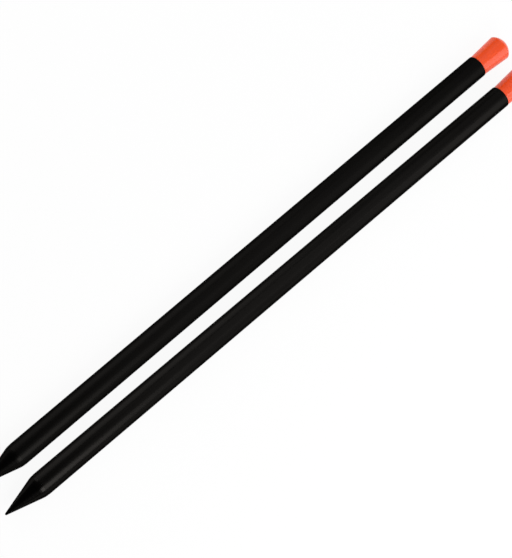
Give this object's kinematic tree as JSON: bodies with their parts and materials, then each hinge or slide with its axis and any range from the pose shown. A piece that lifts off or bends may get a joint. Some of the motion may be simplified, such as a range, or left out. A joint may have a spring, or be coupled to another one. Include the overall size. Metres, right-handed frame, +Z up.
{
  "type": "marker sticks",
  "caption": "Round black marker sticks, each with a pointed lower end for pushing into the ground and a flared, domed orange cap that stops wound line slipping off.",
  "frame": {"origin": "middle of the pair's footprint on the surface that the sticks lie on", "axes": "+X along the sticks from the points to the caps, +Z up, +Y from stick 2 to stick 1"},
  "size_m": [0.4628, 0.0444, 0.0181],
  "materials": {
    "shaft_tube": "satin black anodised",
    "ground_point": "satin black anodised, turned",
    "marker_cap": "semi-gloss fluorescent orange moulded",
    "bond": "hardened epoxy"
  },
  "bodies": {
    "stick_1": {"stick_1_shaft_tube": "shaft_tube", "stick_1_ground_point": "ground_point", "stick_1_marker_cap": "marker_cap", "stick_1_point_bond": "bond", "stick_1_cap_bond": "bond"},
    "stick_2": {"stick_2_shaft_tube": "shaft_tube", "stick_2_ground_point": "ground_point", "stick_2_marker_cap": "marker_cap", "stick_2_point_bond": "bond", "stick_2_cap_bond": "bond"}
  },
  "joints": [
    {"name": "stick_2_lift", "type": "slide", "parent": "stick_1", "child": "stick_2", "axis": [0, 0, 1], "range_m": [0, 0.12]}
  ]
}
